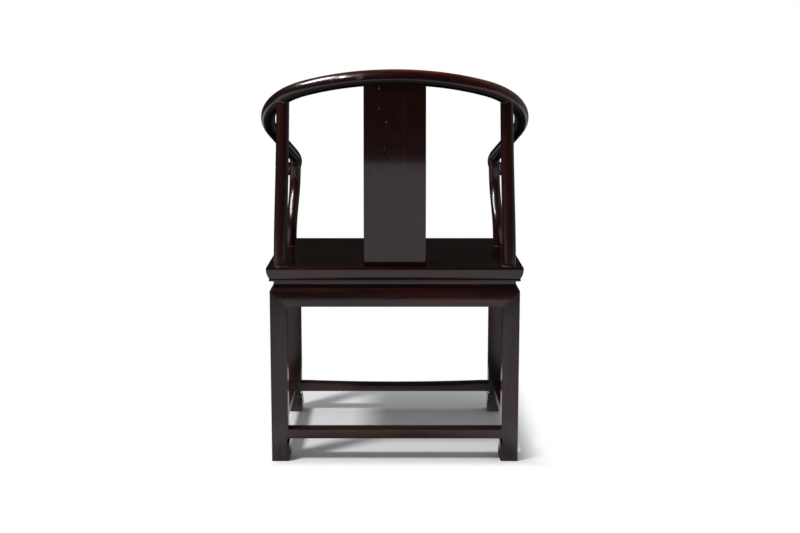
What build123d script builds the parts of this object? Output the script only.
from build123d import *
from math import cos, pi, radians, sin
import os

os.makedirs("parts", exist_ok=True)

# Base: outer faces of the four square legs
base_width = 625.0
base_depth = 493.0
leg_size = 42.0

# Heights, from the floor up
stretcher_bottom = 59.5
stretcher_height = 24.0
apron_bottom = 400.5
apron_face_height = 39.0
apron_shoulder_height = 8.0
waist_height = 17.5
frame_height = 36.0

# Depth of each layer behind the leg's outer face; a long stretcher falls short of the inner one by its inset
stretcher_inset = 2.0
side_stretcher_depth = 28.0
apron_thickness = 22.0
waist_recess = 10.4
waist_hollow = 2.0
corner_radius = 9.0

# Foot with its upturned scroll: how far each level stands inside or outside the leg's inner face
ankle_inset = 2.5
foot_flare = 4.5
foot_top_flare = 2.5
foot_sole_flare = 1.0
foot_height = 50.5
foot_widest_height = 16.0
foot_edge_height = 5.0
foot_edge_drop = 1.4
scroll_groove_depth = 9.0
scroll_lip = 1.8
ankle_drop = 4.0
ankle_sweep_share = 0.65

# Seat frame, mitred at its corners
frame_overhang = 7.5
frame_rail_width = 85.0
frame_band = 5.0
frame_round = 2.0
frame_undercut = 7.5
frame_swell = 1.9
bead_height = 6.0
bead_swell = 1.3

# Seat boards and the battens below them
board_thickness = 14.0
board_recess = 0.6
board_joint_offset = 11.5
board_gap = 0.3
tongue_thickness = 5.0
tongue_length = 8.0
tongue_drop = 4.0
batten_width = 30.0
batten_height = 17.0
batten_spacing = 230.0
dovetail_depth = 4.5
dovetail_flare = 3.0

# Joints: tenons, and the clearance of their mortises
fit_gap = 0.15
corner_tenon_width = 26.0
corner_tenon_thickness = 10.0
corner_tenon_setback = 9.0
corner_tenon_cover = 15.0
leg_tenon_size = 12.0
leg_tenon_length = 17.0
hook_width = 8.0
hook_flare = 2.0
hook_depth = 5.0
footrest_wear = 4.0
footrest_wear_share = 0.92
stretcher_tenon_length = 12.0
stretcher_tenon_height = 11.0
stretcher_tenon_depth = 16.0
batten_tenon_length = 12.0
batten_tenon_width = 18.0
batten_tenon_height = 8.0
post_tenon_size = 13.0
post_tenon_length = 14.0
top_tenon_size = 11.0
top_tenon_reach = 6.0
splat_tenon_thickness = 7.0
splat_tenon_length = 13.0
splat_tenon_margin = 10.0

# Horseshoe rail: a round bar bent in one slanted plane
crest_height = 969.5
crest_overhang = 45.0
crest_radius = 19.0
rail_full_share = 0.6
arm_radius = 16.2
grip_end_radius = 18.0
back_bend_radius = 483.0
back_bend_turn = 27.3
shoulder_bend_radius = 195.2
shoulder_bend_turn = 79.2
arm_run = 139.0
arm_bend_radius = 125.8
arm_bend_turn = 34.3
grip_bend_radius = 34.0
grip_bend_turn = 34.2
grip_run = 12.0
grip_nose = 13.0
rail_slope_share = 0.52

# Places along the rail, measured in plan from the middle of the crest
crest_joint_station = 100.0
arm_joint_station = 540.0
rear_post_station = 300.0
arm_post_station = 670.0
scarf_length = 60.0
peg_size = 7.0
peg_inset = 0.6
rail_end_margin = 21.0
sections_per_piece = 9
sections_per_bent_piece = 19

# Posts and splat
rear_post_base_radius = 17.0
rear_post_top_radius = 16.0
rear_post_inset = 26.3
rear_post_setback = 26.0
arm_post_base_radius = 14.0
arm_post_top_radius = 15.6
arm_post_inset = 27.5
arm_post_setback = 354.0
arm_post_sway = 18.0
post_sections = 9
splat_width = 155.0
splat_top_width = 150.0
splat_thickness = 14.0
splat_setback = 22.5
splat_edge_round = 2.0

# Rounded edges, how far a cutter runs past what it cuts, and what counts as a long edge of a piece
edge_round = 1.6
overrun = 5.0
long_edge_share = 0.5

# Levels and centre lines worked out from the sizes above
apron_face_top = apron_bottom + apron_face_height
apron_top = apron_face_top + apron_shoulder_height
frame_bottom = apron_top + waist_height
seat_top = frame_bottom + frame_height
seat_width = base_width + 2 * frame_overhang
seat_depth = base_depth + 2 * frame_overhang
rear_face_y = (base_depth + frame_overhang - crest_overhang - crest_radius) / 2
centre_y = rear_face_y - base_depth / 2
front_face_y = rear_face_y - base_depth
half_base = base_width / 2
stretcher_depth = leg_size - stretcher_inset
ankle_size = leg_size - ankle_inset
foot_size = leg_size + foot_flare
foot_top_size = leg_size + foot_top_flare
foot_sole_size = leg_size + foot_sole_flare
leg_core = leg_size - apron_thickness
leg_tenon_place = apron_thickness + leg_core / 2
rear_post_x = half_base - rear_post_inset
rear_post_y = rear_face_y - rear_post_setback
arm_post_x = half_base - arm_post_inset
arm_post_y = rear_face_y - arm_post_setback
splat_base_y = rear_face_y - splat_setback
tongue_top = seat_top - tongue_drop
middle_plane = Plane(origin=(0, centre_y, 0), z_dir=(0, 1, 0))

side_turns = {"front": 0, "left": 90, "rear": 180, "right": 270}


def run_along(side):
    """Unit vectors along a side of the chair and inward from it."""
    turn = radians(side_turns[side])
    return Vector(cos(turn), sin(turn), 0), Vector(-sin(turn), cos(turn), 0)


def side_run(side, margin=0.0):
    """Length of a side, and how far its face stands from the middle, past the legs' faces by a margin."""
    width, depth = base_width + 2 * margin, base_depth + 2 * margin
    return (width, depth / 2) if side in ("front", "rear") else (depth, width / 2)


def side_plane(side, margin, height):
    """Plane across a side's first end: its x runs inward, its y up, its normal along the side."""
    along, inward = run_along(side)
    run, reach = side_run(side, margin)
    origin = Vector(0, centre_y, height) - along * (run / 2) - inward * reach
    return Plane(origin, x_dir=inward, z_dir=along)


def mitre_planes(side, margin):
    """The two upright planes through a side's outer corners, facing the piece between them."""
    along, inward = run_along(side)
    run, reach = side_run(side, margin)
    middle = Vector(0, centre_y, 0) - inward * reach
    first = Plane(middle - along * (run / 2), z_dir=along - inward)
    last = Plane(middle + along * (run / 2), z_dir=-along - inward)
    return first, last


def dovetail_outline(neck, flare, depth, gap=0.0):
    """Corners of a dovetail that stands on its neck and widens upwards, enlarged by a gap for its slot."""
    foot, head = neck / 2 + gap, neck / 2 + flare + gap
    return [(-foot, 0), (foot, 0), (head, depth + gap), (-head, depth + gap)]


def write(part, name):
    part.label = name
    export_step(part, f"parts/{name}.step")


# Plan of the rail: lengths of its bends and straights, each with its turn in degrees
rail_plan = [
    (back_bend_radius * radians(back_bend_turn), back_bend_turn),
    (shoulder_bend_radius * radians(shoulder_bend_turn), shoulder_bend_turn),
    (arm_run, 0),
    (arm_bend_radius * radians(arm_bend_turn), -arm_bend_turn),
    (grip_bend_radius * radians(grip_bend_turn), -grip_bend_turn),
    (grip_run + grip_nose, 0),
]
rail_length = sum(run for run, turn in rail_plan)
bend_end = rail_plan[0][0] + rail_plan[1][0]
rail_up = Vector(0, -rail_slope_share, 1).normalized()
crest_y = rear_face_y + crest_overhang


def plan_at(station):
    """Distance across and forward of the crest's middle, and the heading, at a length along the rail."""
    across, forward, heading, left = 0, 0, 0, abs(station)
    for run, turn in rail_plan:
        part_run = min(left, run)
        swing = radians(turn) * part_run / run
        chord = part_run * (sin(swing / 2) / (swing / 2) if swing else 1)
        across += chord * cos(heading + swing / 2)
        forward += chord * sin(heading + swing / 2)
        heading += swing
        left -= part_run
    return across, forward, heading


def rail_plane(station):
    """Plane square to the rail: its x is the slanted plane's normal, its z the way the rail runs."""
    across, forward, heading = plan_at(station)
    side = 1 if station >= 0 else -1
    origin = (side * across, crest_y - forward, crest_height - rail_slope_share * forward)
    ahead = -side * sin(heading)
    return Plane(origin, x_dir=rail_up, z_dir=(cos(heading), ahead, rail_slope_share * ahead))


def blend(low, high, share):
    """Smooth step from one size to another."""
    share = min(max(share, 0), 1)
    return low + (high - low) * share * share * (3 - 2 * share)


def rail_radius(station):
    """Radius of the rail: full over the back, slim along the arm, full at the grip, round at its nose."""
    station = abs(station)
    arm_end = bend_end + arm_run
    if station < arm_end:
        slimming = (station / bend_end - rail_full_share) / (1 - rail_full_share)
        return blend(crest_radius, arm_radius, slimming)
    radius = blend(arm_radius, grip_end_radius, (station - arm_end) / (rail_length - arm_end))
    nose = max(station - (rail_length - grip_nose), 0) / grip_nose
    return radius * (1 - nose**2) ** 0.5


def rail_centre(station):
    return rail_plane(station).origin


# Rail blanks: lofts through round sections, longer than their pieces by a margin at each scarf
nose_shares = (0.35, 0.6, 0.77, 0.88)
half_scarf = scarf_length / 2
crest_end = crest_joint_station + half_scarf + rail_end_margin
shoulder_start = crest_joint_station - half_scarf - rail_end_margin
shoulder_end = arm_joint_station + half_scarf + rail_end_margin
arm_start = arm_joint_station - half_scarf - rail_end_margin
grip_start = rail_length - grip_nose


def stations_between(first, last, count):
    return [first + (last - first) * step / (count - 1) for step in range(count)]


crest_stations = stations_between(-crest_end, crest_end, sections_per_piece)
shoulder_stations = stations_between(shoulder_start, shoulder_end, sections_per_bent_piece)
arm_stations = stations_between(arm_start, grip_start, sections_per_bent_piece)
arm_stations += [grip_start + grip_nose * share for share in nose_shares]

rail_blanks = {}
for name, stations in (("crest", crest_stations), ("shoulder", shoulder_stations), ("arm", arm_stations)):
    with BuildPart() as blank:
        for station in stations:
            with BuildSketch(rail_plane(station)):
                Circle(rail_radius(station))
        loft()
    rail_blanks[name] = blank.part


def post_centre(base, top, share, sway):
    """Centre of a post at a share of its height: upright at its base, then swaying over to the rail."""
    lean = blend(0, 1, share) * (1 - share) + share * share
    x = base[0] + (top.X - base[0]) * lean
    y = base[1] + (top.Y - base[1]) * lean + sway * sin(2 * pi * share) * sin(pi * share)
    return x, y


def make_post(name, base, base_radius, top_station, top_radius, sway, cope):
    """A turned post from the seat to the rail, coped to the rail, with a square tenon at each end."""
    top = rail_centre(top_station)
    height = top.Z - seat_top
    with BuildPart() as post:
        for step in range(post_sections):
            share = step / (post_sections - 1)
            x, y = post_centre(base, top, share, sway)
            with BuildSketch(Plane((x, y, seat_top + height * share))):
                Circle(base_radius + (top_radius - base_radius) * share)
        loft()
        add(cope, mode=Mode.SUBTRACT)
        with BuildSketch(Plane((base[0], base[1], seat_top - post_tenon_length))):
            Rectangle(post_tenon_size, post_tenon_size)
        extrude(amount=post_tenon_length + overrun)
        with BuildSketch(Plane((top.X, top.Y, top.Z + top_tenon_reach))):
            Rectangle(top_tenon_size, top_tenon_size)
        extrude(amount=-(top_tenon_reach + crest_radius + overrun))
    write(post.part, f"{name}_left")
    with BuildPart() as other:
        mirror(post.part, about=Plane.YZ)
    write(other.part, f"{name}_right")


make_post("rear_post", (rear_post_x, rear_post_y), rear_post_base_radius, rear_post_station,
          rear_post_top_radius, 0, rail_blanks["shoulder"])
make_post("arm_post", (arm_post_x, arm_post_y), arm_post_base_radius, arm_post_station,
          arm_post_top_radius, arm_post_sway, rail_blanks["arm"])


# Back splat: a board sawn to a shallow hollow curve, steeper to the top, where it is narrower
splat_height = crest_height - seat_top
splat_lean = crest_overhang + splat_setback
splat_rise_shares = (0, 0.25, 0.5, 0.75, 1)
splat_lean_shares = (0, 0.32, 0.6, 0.82, 1)


def splat_line(offset):
    """Points up one face of the splat, offset from its middle surface: backward, and up from the seat."""
    return [(offset + splat_lean * lean, splat_height * rise)
            for rise, lean in zip(splat_rise_shares, splat_lean_shares)]


side_view = Plane((0, splat_base_y, seat_top), x_dir=(0, 1, 0), z_dir=(1, 0, 0))
splat_front = splat_line(-splat_thickness / 2)
splat_back = splat_line(splat_thickness / 2)
splat_tenon_width = splat_top_width - 2 * splat_tenon_margin
with BuildPart() as back_splat:
    with BuildSketch(side_view):
        with BuildLine():
            Spline(splat_front)
            Line(splat_front[-1], splat_back[-1])
            Spline(splat_back)
            Line(splat_back[0], splat_front[0])
        make_face()
    extrude(amount=splat_width / 2, both=True)
    with BuildSketch(Plane((0, splat_base_y, seat_top), x_dir=(1, 0, 0), z_dir=(0, -1, 0))):
        with BuildLine():
            Polyline((-splat_width / 2, 0), (splat_width / 2, 0), (splat_top_width / 2, splat_height),
                     (-splat_top_width / 2, splat_height), close=True)
        make_face()
    extrude(amount=splat_lean + splat_thickness, both=True, mode=Mode.INTERSECT)
    long_edges = [edge for edge in back_splat.edges() if edge.length > splat_height * long_edge_share]
    fillet(long_edges, splat_edge_round)
    add(rail_blanks["crest"], mode=Mode.SUBTRACT)
    with BuildSketch(Plane((0, splat_base_y, seat_top - splat_tenon_length))):
        Rectangle(splat_tenon_width, splat_tenon_thickness)
    extrude(amount=splat_tenon_length + overrun)
    with BuildSketch(Plane((0, crest_y, crest_height))):
        Rectangle(splat_tenon_width, splat_tenon_thickness)
    extrude(amount=-(crest_radius + overrun))
write(back_splat.part, "back_splat")


def local_box(frame, box_x, box_y, box_z):
    """A box given by its low and high ends along a plane's own axes."""
    centre = frame.from_local_coords(Vector(*(sum(ends) / 2 for ends in (box_x, box_y, box_z))))
    sizes = [ends[1] - ends[0] for ends in (box_x, box_y, box_z)]
    return Plane(centre, x_dir=frame.x_dir, z_dir=frame.z_dir) * Box(*sizes)


def scarf_cutters(station, keeps_upper, before):
    """What a scarf removes from the piece that lies before it, or after it, on the rail."""
    frame = rail_plane(station)
    wide = 2 * crest_radius
    far = half_scarf + 4 * rail_end_margin
    if before:
        half_run, whole_run = (-half_scarf, far), (half_scarf, far)
    else:
        half_run, whole_run = (-far, half_scarf), (-far, -half_scarf)
    removed_half = (-wide, 0) if keeps_upper else (0, wide)
    half_peg = peg_size / 2 + fit_gap
    return [
        local_box(frame, removed_half, (-wide, wide), half_run),
        local_box(frame, (-wide, wide), (-wide, wide), whole_run),
        local_box(frame, (-half_peg, half_peg), (-wide, wide), (-half_peg, half_peg)),
    ]


def upright_pocket(x, y, low, high, size_x, size_y):
    """A mortise for an upright tenon, wider than the tenon by the fit's clearance all round."""
    return Pos(x, y, (low + high) / 2) * Box(size_x + 2 * fit_gap, size_y + 2 * fit_gap, high - low)


rear_top = rail_centre(rear_post_station)
arm_top = rail_centre(arm_post_station)
tenon_bottom = 2 * crest_radius


def rail_pocket(top, size):
    """The mortise in the rail for a post's top tenon."""
    return upright_pocket(top.X, top.Y, top.Z - tenon_bottom, top.Z + top_tenon_reach + fit_gap, size, size)


crest_cutters = []
for side in (-1, 1):
    crest_cutters += scarf_cutters(side * crest_joint_station, keeps_upper=False, before=side > 0)
crest_cutters.append(upright_pocket(0, crest_y, crest_height - tenon_bottom, crest_height + fit_gap,
                                    splat_tenon_width, splat_tenon_thickness))
shoulder_cutters = scarf_cutters(crest_joint_station, keeps_upper=True, before=False)
shoulder_cutters += scarf_cutters(arm_joint_station, keeps_upper=False, before=True)
shoulder_cutters.append(rail_pocket(rear_top, top_tenon_size))
arm_cutters = scarf_cutters(arm_joint_station, keeps_upper=True, before=False)
arm_cutters.append(rail_pocket(arm_top, top_tenon_size))

with BuildPart() as crest_rail:
    add(rail_blanks["crest"])
    add(crest_cutters, mode=Mode.SUBTRACT)
write(crest_rail.part, "crest_rail")

for name, cutters in (("shoulder", shoulder_cutters), ("arm", arm_cutters)):
    with BuildPart() as rail_piece:
        add(rail_blanks[name])
        add(cutters, mode=Mode.SUBTRACT)
    write(rail_piece.part, f"{name}_rail_left")
    with BuildPart() as other_rail_piece:
        mirror(rail_piece.part, about=Plane.YZ)
    write(other_rail_piece.part, f"{name}_rail_right")

with BuildPart() as scarf_pegs:
    for station in (-arm_joint_station, -crest_joint_station, crest_joint_station, arm_joint_station):
        peg_half_length = rail_radius(station) - peg_inset
        frame = rail_plane(station)
        across_rail = Plane(frame.origin, x_dir=frame.z_dir, z_dir=frame.y_dir)
        with BuildSketch(across_rail):
            Rectangle(peg_size, peg_size)
        extrude(amount=peg_half_length, both=True)
write(scarf_pegs.part, "scarf_pegs")


# Seat frame: four moulded rails, mitred, the long ones tenoned into the short ones
corner_tenon_near = frame_rail_width - corner_tenon_setback - corner_tenon_width
corner_tenon_far = frame_rail_width - corner_tenon_setback
half_tenon = corner_tenon_thickness / 2
seat_pockets = [
    upright_pocket(0, splat_base_y, seat_top - splat_tenon_length - fit_gap, seat_top + overrun,
                   splat_tenon_width, splat_tenon_thickness)]
for side in (-1, 1):
    low, high = seat_top - post_tenon_length - fit_gap, seat_top + overrun
    for post_x, post_y in ((rear_post_x, rear_post_y), (arm_post_x, arm_post_y)):
        seat_pockets.append(
            upright_pocket(side * post_x, post_y, low, high, post_tenon_size, post_tenon_size))
    low, high = frame_bottom - overrun, frame_bottom + leg_tenon_length + fit_gap
    leg_x = half_base - leg_tenon_place
    for leg_y in (front_face_y + leg_tenon_place, rear_face_y - leg_tenon_place):
        seat_pockets.append(upright_pocket(side * leg_x, leg_y, low, high, leg_tenon_size, leg_tenon_size))
board_bottom = seat_top - board_thickness
batten_tenon_low = board_bottom - (batten_height + batten_tenon_height) / 2
batten_xs = (batten_spacing / 2, -batten_spacing / 2)
batten_neck = batten_width - 2 * dovetail_flare
opening_half_depth = seat_depth / 2 - frame_rail_width
opening_half_width = seat_width / 2 - frame_rail_width
batten_run = opening_half_depth + batten_tenon_length
for batten_x in batten_xs:
    low, high = batten_tenon_low - fit_gap, batten_tenon_low + batten_tenon_height + fit_gap
    seat_pockets.append(upright_pocket(batten_x, centre_y, low, high, batten_tenon_width, 2 * batten_run))

edge_low = frame_height - bead_height
groove_depth = tongue_length + board_gap


def corner_joints(side):
    """A side's corner tenons, or the mortises for them, one at each end."""
    has_tenon = side in ("front", "rear")
    gap = 0 if has_tenon else fit_gap
    run = side_run(side, frame_overhang)[0]
    near, far = corner_tenon_near - gap, corner_tenon_far + gap
    cover, inner = corner_tenon_cover - gap, frame_rail_width + (0 if has_tenon else overrun)
    across, lengthways = ((near, far), (cover, inner)) if has_tenon else ((cover, inner), (near, far))
    heights = (-frame_height / 2 - half_tenon - gap, -frame_height / 2 + half_tenon + gap)
    plane = side_plane(side, frame_overhang, seat_top)
    low, high = lengthways
    return [local_box(plane, across, heights, ends) for ends in ((low, high), (run - high, run - low))]


for side in side_turns:
    start_plane = side_plane(side, frame_overhang, seat_top)
    run = side_run(side, frame_overhang)[0]
    joints = corner_joints(side)
    joint_mode = Mode.ADD if side in ("front", "rear") else Mode.SUBTRACT
    with BuildPart() as seat_rail:
        with BuildSketch(start_plane):
            with BuildLine():
                Line((frame_rail_width, 0), (frame_round, 0))
                RadiusArc((frame_round, 0), (0, -frame_round), -frame_round)
                Line((0, -frame_round), (0, -frame_band))
                ThreePointArc((0, -frame_band), (frame_swell, -(frame_band + edge_low) / 2),
                              (frame_undercut, -edge_low))
                ThreePointArc((frame_undercut, -edge_low),
                              (frame_undercut - bead_swell, -edge_low - bead_height / 2),
                              (frame_undercut, -frame_height))
                Line((frame_undercut, -frame_height), (frame_rail_width, -frame_height))
                Line((frame_rail_width, -frame_height), (frame_rail_width, 0))
            make_face()
        extrude(amount=run)
        for plane in mitre_planes(side, frame_overhang):
            split(bisect_by=plane, keep=Keep.TOP)
        with BuildSketch(start_plane):
            with Locations((frame_rail_width, -tongue_drop - tongue_thickness / 2)):
                Rectangle(2 * groove_depth, tongue_thickness + 2 * fit_gap)
        extrude(amount=run, mode=Mode.SUBTRACT)
        add(joints, mode=joint_mode)
        add(seat_pockets, mode=Mode.SUBTRACT)
    write(seat_rail.part, f"seat_rail_{side}")


# Seat boards: two boards butted along the seat's width, tongued into the frame on their other edges
joint_y = centre_y + board_joint_offset
opening_front_y, opening_rear_y = centre_y - opening_half_depth, centre_y + opening_half_depth
board_spans = {"front": (opening_front_y, joint_y), "rear": (joint_y, opening_rear_y)}
for name, (low_y, high_y) in board_spans.items():
    front_gap = board_gap if name == "front" else 0
    rear_gap = board_gap if name == "rear" else 0
    front_tongue = tongue_length if name == "front" else 0
    rear_tongue = tongue_length if name == "rear" else 0
    with BuildPart() as board:
        with BuildSketch(Plane.XY.offset(board_bottom)):
            with Locations((0, (low_y + front_gap + high_y - rear_gap) / 2)):
                Rectangle(2 * (opening_half_width - board_gap), high_y - rear_gap - low_y - front_gap)
        extrude(amount=board_thickness - board_recess)
        with BuildSketch(Plane.XY.offset(tongue_top - tongue_thickness)):
            with Locations((0, (low_y - front_tongue + high_y + rear_tongue) / 2)):
                tongue_run = high_y - low_y + front_tongue + rear_tongue
                Rectangle(2 * (opening_half_width + tongue_length), tongue_run)
        extrude(amount=tongue_thickness)
        for batten_x in batten_xs:
            with BuildSketch(Plane((batten_x, low_y - tongue_length - overrun, board_bottom),
                                   x_dir=(-1, 0, 0), z_dir=(0, 1, 0))):
                Polygon(*dovetail_outline(batten_neck, dovetail_flare, dovetail_depth, fit_gap), align=None)
            extrude(amount=high_y - low_y + 2 * (tongue_length + overrun), mode=Mode.SUBTRACT)
    write(board.part, f"seat_board_{name}")

# Battens: a dovetail in the boards' undersides, a tenon in the front and rear rails
for name, batten_x in zip(("left", "right"), batten_xs):
    with BuildPart() as batten:
        with BuildSketch(Plane((batten_x, centre_y - opening_half_depth, board_bottom),
                               x_dir=(-1, 0, 0), z_dir=(0, 1, 0))):
            with Locations((0, -batten_height / 2)):
                Rectangle(batten_width, batten_height)
            Polygon(*dovetail_outline(batten_neck, dovetail_flare, dovetail_depth), align=None)
        extrude(amount=2 * opening_half_depth)
        with BuildSketch(Plane((batten_x, centre_y - batten_run, batten_tenon_low),
                               x_dir=(-1, 0, 0), z_dir=(0, 1, 0))):
            Rectangle(batten_tenon_width, batten_tenon_height, align=(Align.CENTER, Align.MIN))
        extrude(amount=2 * batten_run)
    write(batten.part, f"seat_batten_{name}")


# Waist: strips with a hollow face, set back from the legs' faces and mitred at the corners
waist_edge = waist_recess - waist_hollow
waist_thickness = apron_thickness - waist_edge
for side in side_turns:
    run = side_run(side, -waist_edge)[0]
    with BuildPart() as waist:
        with BuildSketch(side_plane(side, -waist_edge, apron_top)):
            with BuildLine():
                ThreePointArc((0, 0), (waist_hollow, waist_height / 2), (0, waist_height))
                Polyline((0, waist_height), (waist_thickness, waist_height), (waist_thickness, 0), (0, 0))
            make_face()
        extrude(amount=run)
        for plane in mitre_planes(side, -waist_edge):
            split(bisect_by=plane, keep=Keep.TOP)
    write(waist.part, f"waist_{side}")


# Corner between leg and apron: where its arc is met by the mitre that rises to the leg's outer edge
arc_inset = corner_radius * (1 - sin(radians(45)))
mitre_foot = (leg_size + arc_inset, apron_bottom - arc_inset)
below_corner = apron_bottom - corner_radius - overrun


def corner_plane(side, end):
    """Plane on a side's face at one of its ends: its x runs to the side's middle, its y up."""
    along, inward = run_along(side)
    run, reach = side_run(side)
    facing = along if end == 0 else -along
    origin = Vector(0, centre_y, 0) - facing * (run / 2) - inward * reach
    return Plane(origin, x_dir=facing, z_dir=facing.cross(Vector(0, 0, 1)))


def inward_amount(plane, side, depth):
    """A depth behind a side's face, signed for a plane that may look in or out."""
    return depth if plane.z_dir.dot(run_along(side)[1]) > 0 else -depth


corner_webs, mitre_cutters, hook_slots = {}, {}, {}
for side in side_turns:
    for end in (0, 1):
        face = corner_plane(side, end)
        depth = inward_amount(face, side, apron_thickness)
        with BuildPart() as corner_web:
            with BuildSketch(face):
                with BuildLine():
                    Line((leg_size, apron_bottom), (leg_size, apron_bottom - corner_radius))
                    RadiusArc((leg_size, apron_bottom - corner_radius),
                              (leg_size + corner_radius, apron_bottom), corner_radius)
                    Line((leg_size + corner_radius, apron_bottom), (leg_size, apron_bottom))
                make_face()
            extrude(amount=depth)
        corner_webs[side, end] = corner_web.part
        with BuildPart() as mitre_cutter:
            with BuildSketch(face):
                with BuildLine():
                    Polyline(mitre_foot, (0, apron_face_top), (-overrun, apron_face_top),
                             (-overrun, below_corner), (mitre_foot[0], below_corner), close=True)
                make_face()
            extrude(amount=2 * depth, both=True)
        mitre_cutters[side, end] = mitre_cutter.part
        inward = run_along(side)[1]
        hook_foot = face.origin + face.x_dir * leg_tenon_place + inward * apron_thickness
        slot_plane = Plane(hook_foot + Vector(0, 0, apron_bottom - overrun),
                           x_dir=inward.cross(Vector(0, 0, 1)), z_dir=(0, 0, 1))
        with BuildPart() as hook_slot:
            with BuildSketch(slot_plane):
                Polygon(*dovetail_outline(hook_width, hook_flare, hook_depth, fit_gap), align=None)
            extrude(amount=apron_top - apron_bottom + 2 * overrun)
        hook_slots[side, end] = hook_slot.part


# Aprons: a face, a sloped shoulder below the waist, and ends mitred over the legs
apron_profile = [
    (0, apron_bottom), (0, apron_face_top), (waist_edge, apron_top),
    (apron_thickness, apron_top), (apron_thickness, apron_bottom)]
aprons = {}
for side in side_turns:
    with BuildPart() as apron:
        with BuildSketch(side_plane(side, 0, 0)):
            with BuildLine():
                Polyline(*apron_profile, close=True)
            make_face()
        extrude(amount=side_run(side)[0])
        for end in (0, 1):
            add(corner_webs[side, end])
        for plane in mitre_planes(side, 0):
            split(bisect_by=plane, keep=Keep.TOP)
        for end in (0, 1):
            add(mitre_cutters[side, end], mode=Mode.SUBTRACT)
            add(hook_slots[side, end], mode=Mode.SUBTRACT)
    aprons[side] = apron.part
    write(apron.part, f"apron_{side}")


# Legs: square shafts that carry the mitred aprons, with a scroll foot below and a tenon above
leg_corner = Vector(half_base, front_face_y, 0)
side_view_plane = Plane(leg_corner, x_dir=(-1, 0, 0), z_dir=(0, 1, 0))
front_view_plane = Plane(leg_corner, x_dir=(0, 1, 0), z_dir=(1, 0, 0))
leg_reach = foot_size + overrun
groove_bottom = foot_height - scroll_groove_depth
groove_size = foot_top_size - scroll_lip


def leg_outline():
    """Outline of the leg seen square on: its outer edge at zero, its inner edge with ankle and foot."""
    shaft_low = stretcher_bottom
    ankle_high = stretcher_bottom - ankle_drop
    sweep_radius = ankle_sweep_share * (ankle_inset + ankle_drop)
    with BuildLine() as outline:
        Polyline((foot_sole_size, 0), (0, 0), (0, apron_face_top), (leg_size, apron_face_top),
                 (leg_size, shaft_low))
        RadiusArc((leg_size, shaft_low), (ankle_size, ankle_high), -sweep_radius)
        Polyline((ankle_size, ankle_high), (ankle_size, foot_height), (foot_top_size, foot_height))
        Spline([(foot_top_size, foot_height), (foot_size, foot_widest_height),
                (foot_size - foot_edge_drop, foot_edge_height), (foot_sole_size, 0)])
    return outline.line


outline = leg_outline()
with BuildPart() as leg_block:
    with BuildSketch(side_view_plane):
        add(outline)
        make_face()
    extrude(amount=leg_reach)
with BuildPart() as leg_block_across:
    with BuildSketch(front_view_plane):
        add(outline)
        make_face()
    extrude(amount=-leg_reach)

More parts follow.
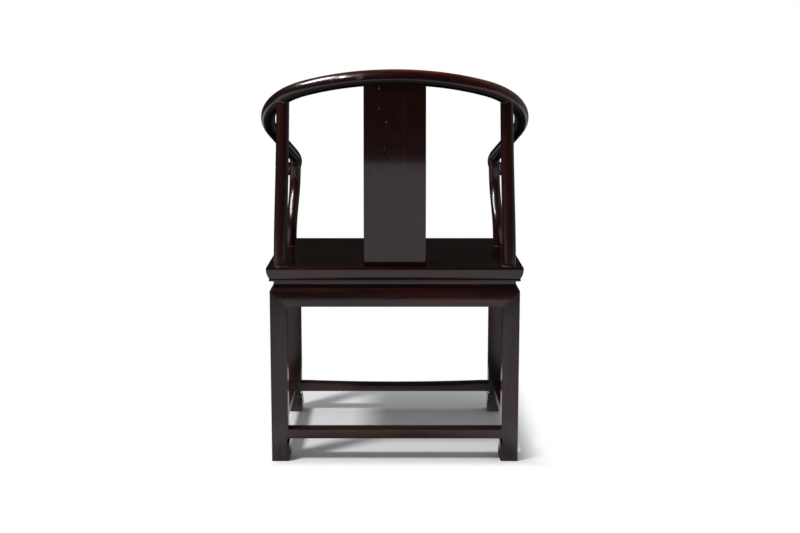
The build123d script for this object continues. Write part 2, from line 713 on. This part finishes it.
core_centre = leg_corner + Vector(-leg_tenon_place, leg_tenon_place, 0)
leg_webs = [corner_webs["front", 1], corner_webs["left", 0]]
stretcher_mid = stretcher_bottom + stretcher_height / 2
pocket_length = stretcher_tenon_length + fit_gap + overrun
pocket_middle = leg_size - stretcher_tenon_length - fit_gap + pocket_length / 2
pocket_sizes = (pocket_length, stretcher_tenon_depth + 2 * fit_gap, stretcher_tenon_height + 2 * fit_gap)
with BuildPart() as leg:
    add(leg_block.part)
    add(leg_block_across.part, mode=Mode.INTERSECT)
    outer_edges = leg.edges().filter_by(Axis.Z).group_by(Axis.X)[-1].group_by(Axis.Y)[0]
    fillet(outer_edges, edge_round)
    with BuildSketch(Plane(leg_corner + Vector(0, 0, groove_bottom), x_dir=(0, 1, 0), z_dir=(0, 0, 1))):
        Rectangle(groove_size, groove_size, align=(Align.MIN, Align.MIN))
        Rectangle(ankle_size, ankle_size, align=(Align.MIN, Align.MIN), mode=Mode.SUBTRACT)
    extrude(amount=foot_height - groove_bottom, mode=Mode.SUBTRACT)
    add(leg_webs)
    for side, end in (("front", 1), ("left", 0)):
        add(aprons[side], mode=Mode.SUBTRACT)
    with BuildSketch(Plane(core_centre + Vector(0, 0, apron_bottom - overrun))):
        Rectangle(leg_core, leg_core)
    extrude(amount=frame_bottom - apron_bottom + overrun)
    with BuildSketch(Plane(core_centre + Vector(0, 0, frame_bottom - overrun))):
        Rectangle(leg_tenon_size, leg_tenon_size)
    extrude(amount=overrun + leg_tenon_length)
    for outward in (Vector(1, 0, 0), Vector(0, -1, 0)):
        hook_plane = Plane(core_centre + outward * (leg_core / 2) + Vector(0, 0, apron_bottom),
                           x_dir=outward.cross(Vector(0, 0, 1)), z_dir=(0, 0, -1))
        with BuildSketch(hook_plane):
            Polygon(*dovetail_outline(hook_width, hook_flare, hook_depth), align=None)
        extrude(amount=-(apron_top - apron_bottom))
    with Locations(leg_corner + Vector(-pocket_middle, stretcher_depth / 2, stretcher_mid)):
        Box(*pocket_sizes, mode=Mode.SUBTRACT)
    with Locations(leg_corner + Vector(-side_stretcher_depth / 2, pocket_middle, stretcher_mid)):
        Box(pocket_sizes[1], pocket_sizes[0], pocket_sizes[2], mode=Mode.SUBTRACT)
write(leg.part, "leg_front_left")

with BuildPart() as leg_front_right:
    mirror(leg.part, about=Plane.YZ)
write(leg_front_right.part, "leg_front_right")
with BuildPart() as leg_rear_left:
    mirror(leg.part, about=middle_plane)
write(leg_rear_left.part, "leg_rear_left")
with BuildPart() as leg_rear_right:
    mirror(leg_rear_left.part, about=Plane.YZ)
write(leg_rear_right.part, "leg_rear_right")


# Stretchers: flush with the legs' outer faces, tenoned into their inner sides; feet have worn the front one
for side in side_turns:
    run, reach = side_run(side)
    depth = stretcher_depth if side in ("front", "rear") else side_stretcher_depth
    with BuildPart() as stretcher:
        with BuildSketch(side_plane(side, 0, stretcher_bottom)):
            Rectangle(depth, stretcher_height, align=(Align.MIN, Align.MIN))
        extrude(amount=run)
        along, inward = run_along(side)
        middle = Vector(0, centre_y, 0) - inward * reach
        for facing in (along, -along):
            split(bisect_by=Plane(middle - facing * (run / 2 - leg_size), z_dir=facing), keep=Keep.TOP)
        if side == "front":
            half_wear = (run / 2 - leg_size) * footrest_wear_share
            with BuildSketch(Plane(middle + Vector(0, 0, stretcher_bottom + stretcher_height),
                                   x_dir=along, z_dir=-inward)):
                with BuildLine():
                    ThreePointArc((-half_wear, 0), (0, -footrest_wear), (half_wear, 0))
                    Polyline((half_wear, 0), (half_wear, overrun), (-half_wear, overrun), (-half_wear, 0))
                make_face()
            extrude(amount=-depth, mode=Mode.SUBTRACT)
        long_edges = [edge for edge in stretcher.edges() if edge.length > run * long_edge_share]
        fillet(long_edges, edge_round)
        tenon_middle = middle + inward * (depth / 2) + Vector(0, 0, stretcher_mid)
        with BuildSketch(Plane(tenon_middle, x_dir=inward, z_dir=along)):
            Rectangle(stretcher_tenon_depth, stretcher_tenon_height)
        extrude(amount=run / 2 - leg_size + stretcher_tenon_length, both=True)
    write(stretcher.part, f"stretcher_{side}")
